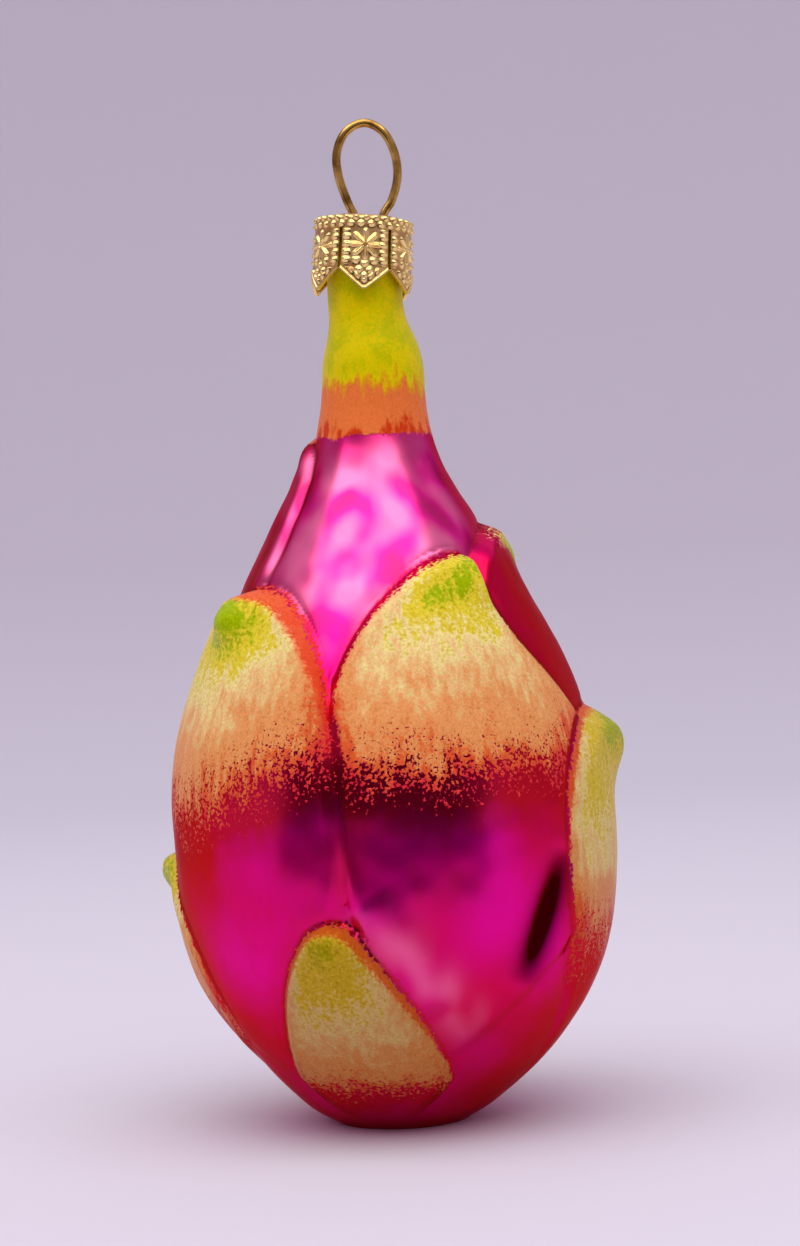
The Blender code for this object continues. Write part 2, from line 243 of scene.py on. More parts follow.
def scale_relief(scale, drop, across, off_middle, distance):
    """How far a scale stands out, crowned, lifted to its tip and knobbed, and its side wall."""
    broader = scale.slope * MM - EDGE_WIDTH
    width = EDGE_WIDTH + broader * np.exp(-drop / SLOPE_LENGTH)
    wall = 1.0 - (1.0 - np.clip(distance / width, 0.0, 1.0)) ** 2
    fade = 1.0 - np.clip(drop / (scale.tip - scale.end), 0.0, 1.0) ** 1.5
    crown = 1.0 - SCALE_CROWN * np.clip(off_middle, 0.0, 1.0) ** 2
    lip = LIP_RISE * np.exp(-np.maximum(drop, 0.0) / LIP_LENGTH)
    knob_radius = KNOB_RADIUS + 0.3 * broader
    knob_drop = KNOB_DROP + 0.5 * broader
    knob = np.exp(-((drop - knob_drop) ** 2 + across**2) / knob_radius**2)
    rise = SCALE_RISE * fade * crown + lip + scale.knob * KNOB_RISE * knob
    return scale.rise * rise * wall, wall


def paint_tone(scale, drop, across):
    """How far along its colours the paint is, from 0 at the tip to 5 past the last fleck."""
    if not scale.paint:
        return UNPAINTED
    ends = np.array((0.0, *scale.paint, scale.paint[-1] + LAST_FLECKS)) * MM
    from_knob = np.hypot(across, drop - KNOB_DROP) / (scale.green * MM) * ends[1]
    slanted = drop + scale.slant * np.maximum(across, 0.0)
    reach = np.maximum(slanted, np.minimum(from_knob, 0.5 * (ends[1] + ends[2])))
    return np.interp(reach, ends, np.arange(len(ends)))


def fruit_surface(azimuth, height):
    """Relief over the profile, then paint tone and body, way in from an edge, fray, rim, bare."""
    points = on_profile(azimuth, height)
    arc = np.radians(1.0) * base_radius(height)
    outer = np.zeros_like(height)
    tone = np.full_like(height, UNPAINTED)
    edge = np.full_like(height, FAR_INSIDE)
    body, fray, rim, bare = (np.full_like(height, value) for value in (1.0, 1.0, 1.0, 0.0))
    for scale in SCALES:
        left, right = scale_sides(scale, height)
        turned = turn_between(azimuth, 0.5 * (left + right))
        half_width = np.maximum(0.5 * (right - left) * arc, 1e-6)
        off_middle = np.abs(turned) * arc / half_width
        drop = scale.tip - height
        across = turn_between(azimuth, scale.azimuth) * arc
        inside = (drop > 0.0) & (height > scale.end) & (off_middle < 1.0)
        distance = outline_distance(scale, points)
        raised, wall = scale_relief(scale, drop, across, off_middle, distance)
        crisp = 1.0 - smooth_step(*EDGE_WEARS, drop / (scale.tip - scale.end))
        carried = outer * (1.0 - smooth_step(*LAYER_FADES, distance)) + STEP_OVER * wall * crisp
        roll = RIM_ROLL * np.exp(-(((distance - RIM_INSET) / RIM_WIDTH) ** 2))
        raised = np.maximum(raised, carried) + roll * wall * crisp
        groove = GROOVE_DEPTH * crisp * np.exp(-((distance / GROOVE_WIDTH) ** 2))
        outer = np.where(inside, raised, outer) - groove

        narrowed = scale.rim * (1.0 - 0.65 * smooth_step(*RIM_NARROWS, drop))
        left_bare = scale.bare * (turned < 0.0) * smooth_step(*BARE_WIDENS, drop)
        seen = distance + WORN_INSET * (1.0 - crisp)
        tone = np.where(inside, paint_tone(scale, drop, across), tone)
        body = np.where(inside, scale.body, body)
        edge = np.where(inside, seen, np.minimum(edge, seen))
        fray = np.where(inside, scale.fray, fray)
        rim = np.where(inside, narrowed, rim)
        bare = np.where(inside, left_bare, bare)
    return outer * smooth_step(0.0, FOOT_BLEND, height), tone, body, edge, fray, rim, bare


def soft_ripples(points, shortest, longest, seed, waves=16):
    """Unevenness of mould-blown glass, as a few waves in seeded directions."""
    random = np.random.default_rng(seed)
    total = np.zeros(len(points))
    for _ in range(waves):
        direction = random.normal(size=3)
        direction /= np.linalg.norm(direction)
        wavelength = random.uniform(shortest, longest)
        phase = random.uniform(0.0, 2.0 * np.pi)
        total += np.sin(points @ direction * 2.0 * np.pi / wavelength + phase)
    return total / math.sqrt(waves)


def select_none():
    bpy.ops.object.select_all(action="DESELECT")
    bpy.context.view_layer.objects.active = None


def positions_of(piece):
    flat = np.empty(len(piece.data.vertices) * 3, dtype=np.float32)
    piece.data.vertices.foreach_get("co", flat)
    return flat.reshape(-1, 3).astype(float)


def move_to(piece, places):
    piece.data.vertices.foreach_set("co", places.astype(np.float32).ravel())
    piece.data.update()


def store(piece, name, values):
    """Keeps one number for each vertex, for the piece's material to read."""
    attribute = piece.data.attributes.new(name, "FLOAT", "POINT")
    attribute.data.foreach_set("value", values.astype(np.float32))


select_none()
bpy.ops.mesh.primitive_grid_add(x_subdivisions=FRUIT_COLUMNS, y_subdivisions=FRUIT_ROWS, size=1)
fruit = bpy.context.object
fruit.name = "blown_glass_fruit"

# The grid's rows climb the outside by arc length, turn over the mouth and go down inside
grid = positions_of(fruit)
outline_steps = np.hypot(np.diff(PROFILE_HEIGHTS), np.diff(PROFILE_RADII))
outline_length = np.concatenate(([0.0], np.cumsum(outline_steps)))
inner_height = NECK_TOP - NECK_DEPTH
path_height = np.concatenate((PROFILE_HEIGHTS, [NECK_TOP, inner_height]))
path_length = np.concatenate(
    (outline_length, outline_length[-1] + np.array([GLASS_WALL, GLASS_WALL + NECK_DEPTH]))
)
along_path = (grid[:, 1] + 0.5) * path_length[-1]
height = np.interp(along_path, path_length, path_height)
is_inside = along_path > outline_length[-1] + 0.5 * GLASS_WALL
azimuth = grid[:, 0] * 360.0
relief, tone, body, edge, fray, rim, bare = fruit_surface(azimuth, height)
radius = base_radius(height) + np.where(is_inside, -GLASS_WALL, relief)
turn = np.radians(azimuth)
around = np.stack((np.sin(turn), -np.cos(turn), np.zeros_like(turn)), axis=1)
places = around * radius[:, None]
places[:, 2] = height

# Blowing leaves slow ripples and finer ones, strongest under the neck, and faint flutes there
above_foot = smooth_step(1.0 * MM, 9.0 * MM, height)
below_cap = 1.0 - 0.6 * smooth_step(70.0 * MM, 90.0 * MM, height)
uneven = SLOW_RIPPLE * soft_ripples(places, 7.0 * MM, 19.0 * MM, seed=3) * above_foot * below_cap
panel = smooth_step(*PANEL_OPENS, height) * (1.0 - smooth_step(*PANEL_CLOSES, height))
finer = soft_ripples(places, 2.6 * MM, 5.5 * MM, seed=8)
uneven += FINE_RIPPLE * finer * (0.5 + panel) * above_foot
uneven += FLUTE_RISE * panel * (np.sin(7.0 * turn + 0.7) + 0.6 * np.sin(13.0 * turn + 2.0))
uneven += stroke_relief(places, *CREASE) + stroke_relief(places, *RIDGE)
places += around * np.where(is_inside, 0.0, uneven)[:, None]
places[:, 0] += axis_shift(height)
move_to(fruit, places)

# Numbers for the material. A painted highlight is laid on the bare panel under the neck and on
# the ridge, and painted shade, below zero here, in the crease
sheen_and_shade = 0.9 * panel * (tone >= UNPAINTED)
sheen_and_shade += 0.7 * stroke_relief(places, *RIDGE) / RIDGE[2]
sheen_and_shade -= stroke_relief(places, *CREASE) / CREASE[2]
store(fruit, "paint_tone", np.where(is_inside, UNPAINTED, tone))
store(fruit, "paint_body", body)
store(fruit, "edge_inset", edge / MM)
store(fruit, "edge_fray", fray)
store(fruit, "edge_rim", rim)
store(fruit, "edge_bare", bare)
store(fruit, "lacquer_thin", sheen_and_shade)

# The grid's two sides meet behind the fruit, and its first and last rows are closed
bpy.ops.object.mode_set(mode="EDIT")
bpy.ops.mesh.select_all(action="SELECT")
bpy.ops.mesh.remove_doubles(threshold=0.00001)
bpy.ops.mesh.fill_holes(sides=0)
bpy.ops.mesh.select_all(action="SELECT")
bpy.ops.mesh.normals_make_consistent(inside=False)
bpy.ops.object.mode_set(mode="OBJECT")
bpy.ops.object.shade_smooth_by_angle(angle=math.radians(60))


def linear(hex_colour):
    """sRGB hex to linear RGBA."""
    parts = [int(hex_colour[i : i + 2], 16) / 255.0 for i in (1, 3, 5)]
    return (*(p / 12.92 if p <= 0.04045 else ((p + 0.055) / 1.055) ** 2.4 for p in parts), 1.0)


def add_node(material, kind, inputs=(), output=0, stops=(), **settings):
    """Adds a shader node and gives its output back; inputs are values or other outputs."""
    tree = material.node_tree
    node = tree.nodes.new("ShaderNode" + kind)
    for name, value in settings.items():
        setattr(node, name, value)
    in_use = [socket for socket in node.inputs if socket.enabled]
    for key, value in inputs.items() if isinstance(inputs, dict) else enumerate(inputs):
        socket = node.inputs[key] if isinstance(key, str) else in_use[key]
        if isinstance(value, bpy.types.NodeSocket):
            tree.links.new(value, socket)
        else:
            socket.default_value = value
    for i, (position, colour) in enumerate(stops):
        elements = node.color_ramp.elements
        stop = elements[i] if i < len(elements) else elements.new(position)
        stop.position, stop.color = position, colour
    outputs = node.outputs
    return outputs[output] if output else [socket for socket in outputs if socket.enabled][0]


def new_material(name):
    """An empty node material, its Principled BSDF and its object coordinates."""
    material = bpy.data.materials.new(name)
    material.use_nodes = True
    shader = material.node_tree.nodes["Principled BSDF"]
    return material, shader, add_node(material, "TexCoord", output="Object")


# Lacquered silvered glass. The silver behind clear glass makes the magenta lacquer look like
# coloured metal under varnish, and the brushed and sponged paint over it is matt and grainy.
MAGENTA = linear("#EE0092")
CRIMSON = linear("#DC0050")
DEEP_CRIMSON = linear("#E8004E")
# Painted dark reflection, then painted highlight, for the clouds on the lacquer
DARK_REFLECTION_MAGENTA = linear("#B4005A")
HIGHLIGHT_PINK = linear("#FF78A8")
LACQUER_EDGE = linear("#D40048")
# Painted shade along the grooves at the scales' outlines
GROOVE_SHADE = linear("#6C0018")
# Painted shade in the pressed crease
CREASE_SHADE = linear("#3A0006")
RED_GLAZE = linear("#D0121C")
LIME = linear("#A4BE00")
YELLOW = linear("#E4D030")
CREAM = linear("#F2E090")
PALE_PEACH = linear("#F0C880")
PEACH = linear("#EA9C58")
ORANGE = linear("#E0662C")
FLECK_RED = linear("#DC3030")
RIM_RED = linear("#E8401C")
THIN_OLIVE = linear("#945600")

# The grain of the paint multiplies its colour, so these are factors and not colours
GRAIN_DARK = (0.90, 0.78, 0.62, 1.0)
GRAIN_EVEN = (1.0, 1.0, 1.0, 1.0)
GRAIN_PALE = (1.10, 1.13, 1.25, 1.0)

# The neck's own paint, then the sizes of strokes, blotches, grains, dust, clouds and tints
NECK_YELLOW = linear("#E2CE00")
NECK_GREEN = linear("#BCBE00")
NECK_AMBER = linear("#E09A14")
NECK_ORANGE = linear("#E87838")
NECK_RED = linear("#D03C10")
BRUSH_MM = 0.9
BLOTCH_MM = 3.5
GRAIN_MM = 0.40
DUST_MM = 0.26
CLOUD_MM = 3.4
TINT_MM = 16.0
NECK_PINK_TOP = 77.9 * MM
NECK_YELLOW_TOP = 88.5 * MM


def fruit_fields(node, place):
    """The numbers kept in the mesh, and the noises of brush, sponge and lacquer."""
    field = SimpleNamespace(
        height=node("SeparateXYZ", (place,), "Z"), sideways=node("SeparateXYZ", (place,), "X")
    )
    for name in (
        "paint_tone", "paint_body", "edge_inset", "edge_fray", "edge_rim", "edge_bare",
        "lacquer_thin",
    ):
        setattr(field, name, node("Attribute", output="Fac", attribute_name=name))

    # Brush strokes and the painted sheen clouds run downwards; the sponge's grains do not
    brushed = node("Mapping", {"Vector": place, "Scale": (1.0, 1.0, 0.22)})
    flowed = node("Mapping", {"Vector": place, "Scale": (1.0, 1.0, 0.5)})
    for name, where, size, detail in (
        ("brush", brushed, BRUSH_MM, 3.0),
        ("blotch", place, BLOTCH_MM, 2.0),
        ("grain", place, GRAIN_MM, 2.5),
        ("dust", place, DUST_MM, 2.0),
        ("cloud", flowed, CLOUD_MM, 0.5),
        ("tint", place, TINT_MM, 1.0),
    ):
        noise = node("TexNoise", {"Vector": where, "Scale": 1.0 / (size * MM), "Detail": detail})
        setattr(field, name, node("Math", (noise, 0.5), operation="SUBTRACT"))

    # Dabs of the brush push the tone up and down; its strokes do so again where paint ends
    field.dabbed = node("Math", (field.blotch, 0.9, field.paint_tone), operation="MULTIPLY_ADD")
    field.dissolve = node("Math", (field.brush, 0.6, field.dabbed), operation="MULTIPLY_ADD")
    # The crease's painted shade, read from the stored number where it falls below zero
    field.crease = node("Math", (field.lacquer_thin, -1.4), operation="MULTIPLY", use_clamp=True)
    lit_grain = node("Math", (field.grain, field.dust), operation="ADD")
    lit_grain = node("MapRange", {"Value": lit_grain, "From Min": -0.24, "From Max": 0.24})
    field.grain_shade = node(
        "ValToRGB", (lit_grain,), stops=((0.0, GRAIN_DARK), (0.45, GRAIN_EVEN), (1.0, GRAIN_PALE))
    )
    return field


def scale_paint(node, field):
    """Ragged brushed bands from green at the tip to orange and red flecks, and a red rim."""
    stroked = node("Math", (field.brush, 1.7, field.dabbed), operation="MULTIPLY_ADD")
    ragged = node("Math", (field.grain, 1.5, stroked), operation="MULTIPLY_ADD")
    inset = field.edge_inset
    thin_edge = node(
        "MapRange",
        {"Value": inset, "From Min": 0.4, "From Max": 3.2, "To Min": 0.75, "To Max": 0.0},
    )
    ragged = node("Math", (ragged, thin_edge), operation="ADD")
    paint = node(
        "ValToRGB",
        (node("Math", (ragged, 1.0 / UNPAINTED), operation="MULTIPLY"),),
        stops=(
            (0.12, LIME), (0.20, YELLOW), (0.27, YELLOW), (0.36, CREAM), (0.42, PALE_PEACH),
            (0.52, PEACH), (0.60, PEACH), (0.68, ORANGE), (0.80, FLECK_RED),
        ),
    )
    ragged_inset = node("Math", (field.grain, 1.2, inset), operation="MULTIPLY_ADD")
    rim_width = node("Math", (field.edge_rim, 0.2), operation="ADD")
    past_rim = node("Math", (ragged_inset, rim_width), operation="DIVIDE")
    on_rim = node(
        "MapRange",
        {"Value": past_rim, "From Min": 0.8, "From Max": 1.2, "To Min": 0.9, "To Max": 0.0},
    )
    paint = node("Mix", (on_rim, paint, RIM_RED), data_type="RGBA")
    paint = node("Mix", (field.paint_body, THIN_OLIVE, paint), data_type="RGBA")
    return node("Mix", (1.0, paint, field.grain_shade), data_type="RGBA", blend_type="MULTIPLY")


def scale_cover(node, field):
    """Where paint lies on the scales: it thins out into flecks below and frays at its edge."""
    allowed = node(
        "MapRange",
        {
            "Value": field.dissolve,
            "From Min": 2.3, "From Max": 4.4, "To Min": 0.38, "To Max": -0.26,
        },
    )
    cover = node("Math", (field.grain, allowed), operation="ADD")
    cover = node("Math", (field.dust, 0.35, cover), operation="MULTIPLY_ADD")
    on_scale = node("MapRange", {"Value": cover, "From Min": 0.0, "From Max": 0.05})
    edge_grain = node("Math", (field.brush, 0.5, field.grain), operation="MULTIPLY_ADD")
    edge_swing = node("Math", (field.edge_fray, 1.5, 0.5), operation="MULTIPLY_ADD")
    frayed = node("Math", (edge_grain, edge_swing, field.edge_inset), operation="MULTIPLY_ADD")
    past_bare = node("Math", (frayed, field.edge_bare), operation="SUBTRACT")
    past_bare = node("Math", (field.edge_rim, 0.4, past_bare), operation="MULTIPLY_ADD")
    past_bare = node("Math", (past_bare, 0.45), operation="SUBTRACT")
    past_edge = node("Math", (past_bare, field.edge_fray), operation="DIVIDE")
    at_edge = node("MapRange", {"Value": past_edge, "From Min": 0.15, "From Max": 0.45})
    on_scale = node("Math", (on_scale, at_edge), operation="MULTIPLY")
    has_paint = node("Math", (field.paint_tone, 4.8), operation="LESS_THAN")
    return node("Math", (on_scale, has_paint), operation="MULTIPLY")


def neck_paint(node, field):
    """Yellow under the cap, an orange band below, brushed together, and a red lower edge."""
    low_edge = node("Math", (field.grain, 1.0 * MM, field.height), operation="MULTIPLY_ADD")
    low_edge = node("Math", (field.blotch, 1.6 * MM, low_edge), operation="MULTIPLY_ADD")
    on_neck = node(
        "MapRange",
        {
            "Value": low_edge,
            "From Min": NECK_PINK_TOP - 0.1 * MM,
            "From Max": NECK_PINK_TOP + 0.1 * MM,
        },
    )
    up_neck = node("Math", (field.brush, 7.0 * MM, low_edge), operation="MULTIPLY_ADD")
    up_neck = node("Math", (field.blotch, 3.0 * MM, up_neck), operation="MULTIPLY_ADD")
    up_neck = node(
        "MapRange", {"Value": up_neck, "From Min": NECK_PINK_TOP, "From Max": NECK_YELLOW_TOP}
    )
    neck = node(
        "ValToRGB",
        (up_neck,),
        stops=(
            (0.0, NECK_RED), (0.10, NECK_ORANGE), (0.50, NECK_ORANGE), (0.60, NECK_AMBER),
            (0.70, NECK_YELLOW),
        ),
    )
    mottle = node("Math", (field.grain, 0.9, field.blotch), operation="MULTIPLY_ADD")
    mottle = node("MapRange", {"Value": mottle, "From Min": -0.10, "From Max": 0.18})
    is_yellow = node("MapRange", {"Value": up_neck, "From Min": 0.65, "From Max": 0.85})
    mottle = node("Math", (mottle, is_yellow), operation="MULTIPLY")
    neck = node("Mix", (mottle, neck, NECK_GREEN), data_type="RGBA")
    neck = node("Mix", (0.5, neck, field.grain_shade), data_type="RGBA", blend_type="MULTIPLY")
    return neck, on_neck


def tinted_lacquer(node, field):
    """Magenta to crimson, red under flecks and near edges; painted shade, sheen and reflection."""
    # Painted shade: the lacquer turns crimson towards the fruit's flanks left and right, and in
    # broad random patches
    limb_shade = node("Math", (field.sideways,), operation="ABSOLUTE")
    limb_shade = node(
        "MapRange",
        {"Value": limb_shade, "From Min": 4 * MM, "From Max": 20 * MM, "To Min": -0.1, "To Max": 0.16},
    )
    is_crimson = node("Math", (field.tint, limb_shade), operation="ADD")
    is_crimson = node("MapRange", {"Value": is_crimson, "From Min": -0.08, "From Max": 0.16})
    lacquer = node("Mix", (is_crimson, MAGENTA, CRIMSON), data_type="RGBA")
    dissolve, cloud, inset = field.dissolve, field.cloud, field.edge_inset
    glaze_in = node("MapRange", {"Value": dissolve, "From Min": 2.0, "From Max": 2.8})
    glaze_out = node(
        "MapRange",
        {"Value": dissolve, "From Min": 4.1, "From Max": 5.0, "To Min": 0.85, "To Max": 0.0},
    )
    glaze = node("Math", (glaze_in, glaze_out), operation="MULTIPLY")
    lacquer = node("Mix", (glaze, lacquer, RED_GLAZE), data_type="RGBA")
    in_strip = node("MapRange", {"Value": field.edge_bare, "From Min": 1.0, "From Max": 6.0})
    lacquer = node("Mix", (in_strip, lacquer, DEEP_CRIMSON), data_type="RGBA")
    beside_edge = node(
        "MapRange",
        {"Value": inset, "From Min": 0.4, "From Max": 2.4, "To Min": 0.4, "To Max": 0.0},
    )
    lacquer = node("Mix", (beside_edge, lacquer, RED_GLAZE), data_type="RGBA")
    # Painted dark reflection and painted highlight: deeper magenta and pale pink clouds on the
    # panel and ridge
    painted_dark_reflection = node(
        "MapRange",
        {"Value": cloud, "From Min": -0.22, "From Max": -0.10, "To Min": 0.7, "To Max": 0.0},
    )
    painted_dark_reflection = node("Math", (painted_dark_reflection, field.lacquer_thin), operation="MULTIPLY", use_clamp=True)
    lacquer = node("Mix", (painted_dark_reflection, lacquer, DARK_REFLECTION_MAGENTA), data_type="RGBA")
    painted_highlight = node(
        "MapRange",
        {"Value": cloud, "From Min": -0.12, "From Max": 0.14, "To Min": 0.12, "To Max": 1.0},
    )
    painted_highlight = node("Math", (painted_highlight, field.lacquer_thin), operation="MULTIPLY", use_clamp=True)
    lacquer = node("Mix", (painted_highlight, lacquer, HIGHLIGHT_PINK), data_type="RGBA")
    # Painted shade: darker lacquer along each scale's outline, where the groove lies in shade
    groove_shade_mask = node(
        "MapRange",
        {"Value": inset, "From Min": 0.05, "From Max": 0.45, "To Min": 0.3, "To Max": 0.0},
    )
    lacquer = node("Mix", (groove_shade_mask, lacquer, GROOVE_SHADE), data_type="RGBA")
    # Painted shade: the lacquer goes near black in the pressed crease
    return node("Mix", (field.crease, lacquer, CREASE_SHADE), data_type="RGBA")


def paint_fruit():
    material, shader, place = new_material("silvered_glass_lacquer_and_paint")
    node = functools.partial(add_node, material)
    field = fruit_fields(node, place)
    on_scale = scale_cover(node, field)
    neck, on_neck = neck_paint(node, field)
    lacquer = tinted_lacquer(node, field)
    colour = node("Mix", (on_scale, lacquer, scale_paint(node, field)), data_type="RGBA")
    colour = node("Mix", (on_neck, colour, neck), data_type="RGBA")

    # Silver shines through the lacquer alone; paint is matt and stands up a little, in grains
    painted = node("Math", (on_scale, on_neck), operation="MAXIMUM")
    metal = node("Math", (1.0, painted), operation="SUBTRACT")
    roughness = node("Math", (painted, 0.16, 0.29), operation="MULTIPLY_ADD")
    varnish = node("Math", (painted, -0.08, 0.10), operation="MULTIPLY_ADD")
    varnish = node("Math", (field.crease, -0.13, varnish), operation="MULTIPLY_ADD", use_clamp=True)
    thickness = node("Math", (field.grain, 0.8, 1.0), operation="MULTIPLY_ADD")
    thickness = node("Math", (thickness, painted), operation="MULTIPLY")
    bump = node("Bump", {"Strength": 0.6, "Distance": 0.06 * MM, "Height": thickness})
    links = material.node_tree.links
    links.new(colour, shader.inputs["Base Color"])
    links.new(metal, shader.inputs["Metallic"])
    links.new(roughness, shader.inputs["Roughness"])
    links.new(varnish, shader.inputs["Coat Weight"])
    links.new(bump, shader.inputs["Normal"])
    shader.inputs["Specular IOR Level"].default_value = 0.22
    shader.inputs["Specular Tint"].default_value = LACQUER_EDGE
    shader.inputs["Coat Roughness"].default_value = 0.16
    return material


fruit.data.materials.append(paint_fruit())
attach(fruit, "root")
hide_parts("glass_fruit")


# The crown cap. A cup of thin gilt brass, stamped in a die: its skirt is slit into six pointed
# tabs that spring round the neck, each with a star and rows of beads raised from behind.
# It is one fine grid wrapped into a cup, given its sheet's thickness by Solidify.
CAP_CENTRE_X = -0.06 * MM
CAP_TOP = 103.1 * MM
CAP_TILT = math.radians(5)
CAP_TWIST = 4.0
CAP_HEIGHT = 8.6 * MM
CAP_RADIUS = 5.5 * MM
CAP_FLARE = 0.25 * MM
CAP_SHOULDER = 0.7 * MM
CAP_SHEET = 0.32 * MM
CAP_TABS = 6
CAP_TAB_POINT = 2.4 * MM
CAP_COLUMNS = 360
CAP_ROWS = 128
CAP_TOP_PART = 0.20
CAP_SHOULDER_PART = 0.29
SLIT_TOP = 1.6 * MM
SLIT_COLUMNS = 2
LEG_HOLE_RADIUS = 0.80 * MM
WIRE_LEFT_LEG_X = -0.62 * MM
WIRE_RIGHT_LEG_X = 2.0 * MM
EMBOSS_RISE = 0.32 * MM
BEAD_SPACING = 0.88 * MM
SHOULDER_BEAD_SPACING = 1.15 * MM
POINT_BEAD_SPACING = 0.74 * MM
SIDE_BEAD = (0.36 * MM, 0.27 * MM)
POINT_BEAD = (0.28 * MM, 0.24 * MM)
LOWER_BEAD = (0.33 * MM, 0.33 * MM)
SHOULDER_BEAD = (0.30 * MM, 0.26 * MM)
SIDE_ROW_OUT = 2.12 * MM
POINT_ROW_IN = 1.05 * MM
RAY_WIDTH = 0.20 * MM
STAR_CENTRE = 3.55 * MM
STAR_RAYS = 8
STAR_REACH = 1.95 * MM
LOWER_BEADS = ((-0.95, 5.35), (0.0, 5.75), (0.95, 5.35), (-0.55, 6.45), (0.55, 6.45), (0.0, 7.1))


def bead(across, down, wide, tall):
    return np.exp(-((across / wide) ** 2) - (down / tall) ** 2)


def repeated(value, spacing):
    return (value + 0.5 * spacing) % spacing - 0.5 * spacing


def tab_emboss(across, depth, skirt_end):
    """The die's pattern on a tab: arc across from its middle and depth below the top."""
    side_rows = bead(np.abs(across) - SIDE_ROW_OUT, repeated(depth, BEAD_SPACING), *SIDE_BEAD)
    side_rows *= smooth_step(1.7 * MM, 2.1 * MM, depth) * (depth < 5.9 * MM)
    to_rim = skirt_end - depth
    point_rows = bead(to_rim - POINT_ROW_IN, repeated(across, POINT_BEAD_SPACING), *POINT_BEAD)
    point_rows *= depth > 6.2 * MM
    away = np.hypot(across, depth - STAR_CENTRE)
    bearing = np.arctan2(across, depth - STAR_CENTRE)
    off_ray = away * np.sin(repeated(bearing, 2.0 * np.pi / STAR_RAYS))
    rays = np.exp(-((off_ray / RAY_WIDTH) ** 2)) * smooth_step(0.12 * MM, 0.3 * MM, away)
    rays *= 1.0 - smooth_step(1.45 * MM, STAR_REACH, away)
    pattern = np.maximum.reduce((side_rows, point_rows, rays))
    for bead_across, bead_depth in LOWER_BEADS:
        lower = bead(across - bead_across * MM, depth - bead_depth * MM, *LOWER_BEAD)
        pattern = np.maximum(pattern, lower)
    rim = 0.55 * (1.0 - smooth_step(0.22 * MM, 0.42 * MM, to_rim))
    return np.maximum(pattern, rim)


def shoulder_emboss(arc, depth):
    """Two staggered rows of beads round the cap's shoulder."""
    upper = bead(repeated(arc, SHOULDER_BEAD_SPACING), depth - 0.45 * MM, *SHOULDER_BEAD)
    lower_arc = repeated(arc + 0.5 * SHOULDER_BEAD_SPACING, SHOULDER_BEAD_SPACING)
    return np.maximum(upper, bead(lower_arc, depth - 1.15 * MM, *SHOULDER_BEAD))


select_none()
bpy.ops.mesh.primitive_grid_add(x_subdivisions=CAP_COLUMNS, y_subdivisions=CAP_ROWS, size=1)
cap = bpy.context.object
cap.name = "stamped_crown_cap"
grid = positions_of(cap)
row = grid[:, 1] + 0.5
degrees = grid[:, 0] * 360.0
tab_turn = repeated(degrees - 180.0, 360.0 / CAP_TABS)
off_middle = np.abs(tab_turn) / (180.0 / CAP_TABS)
skirt_end = CAP_HEIGHT - CAP_TAB_POINT * np.clip((off_middle - 0.06) / 0.94, 0.0, 1.0)
on_top = np.clip(row / CAP_TOP_PART, 0.0, 1.0)
on_shoulder = np.clip((row - CAP_TOP_PART) / (CAP_SHOULDER_PART - CAP_TOP_PART), 0.0, 1.0)
on_skirt = np.clip((row - CAP_SHOULDER_PART) / (1.0 - CAP_SHOULDER_PART), 0.0, 1.0)
bend = 0.5 * np.pi * on_shoulder
radius = (CAP_RADIUS - CAP_SHOULDER) * on_top + CAP_SHOULDER * np.sin(bend)
depth = CAP_SHOULDER * (1.0 - np.cos(bend)) + (skirt_end - CAP_SHOULDER) * on_skirt
tab_number = np.round((degrees - tab_turn) / (360.0 / CAP_TABS)).astype(int) % CAP_TABS
tab_spring = np.random.default_rng(5).uniform(-0.10, 0.22, CAP_TABS)[tab_number] * MM
radius += (CAP_FLARE + tab_spring) * np.clip(depth / CAP_HEIGHT, 0.0, 1.0) ** 2
across = np.radians(tab_turn) * CAP_RADIUS
emboss = np.where(depth > 1.65 * MM, tab_emboss(across, depth, skirt_end), 0.0)
emboss = np.maximum(emboss, shoulder_emboss(np.radians(degrees) * CAP_RADIUS, depth))
emboss *= smooth_step(0.15, 0.45, on_shoulder)
outward = np.where(on_shoulder < 1.0, np.sin(bend), 1.0)
upward = np.where(on_shoulder < 1.0, np.cos(bend), 0.0)
radius = radius + EMBOSS_RISE * emboss * outward
turn = np.radians(degrees + CAP_TWIST)
places = np.stack(
    (radius * np.sin(turn), -radius * np.cos(turn), EMBOSS_RISE * emboss * upward - depth), axis=1
)

# Two round holes for the wire's legs: the nearest ring of points is drawn onto each circle
for leg_x in (WIRE_LEFT_LEG_X, WIRE_RIGHT_LEG_X):
    offset = places[:, :2] - (leg_x - CAP_CENTRE_X, 0.0)
    away = np.maximum(np.hypot(offset[:, 0], offset[:, 1]), 1e-6)
    near = (on_shoulder <= 0.0) & (np.abs(away - LEG_HOLE_RADIUS) < 0.11 * MM)
    places[near, :2] += (offset * (LEG_HOLE_RADIUS / away - 1.0)[:, None])[near]
move_to(cap, places)
store(cap, "emboss", emboss)
in_slit = (off_middle > 1.0 - (SLIT_COLUMNS + 0.2) / (180.0 / CAP_TABS)) & (depth > SLIT_TOP)
in_hole = np.zeros(len(places), dtype=bool)
for leg_x in (WIRE_LEFT_LEG_X, WIRE_RIGHT_LEG_X):
    away = np.hypot(places[:, 0] - (leg_x - CAP_CENTRE_X), places[:, 1])
    in_hole |= (away < LEG_HOLE_RADIUS + 0.01 * MM) & (on_shoulder <= 0.0)
removed = in_slit | in_hole
bpy.ops.object.mode_set(mode="EDIT")
bpy.ops.mesh.select_mode(type="FACE")
bpy.ops.mesh.select_all(action="DESELECT")
bpy.ops.object.mode_set(mode="OBJECT")
for polygon in cap.data.polygons:
    polygon.select = all(removed[i] for i in polygon.vertices)
bpy.ops.object.mode_set(mode="EDIT")
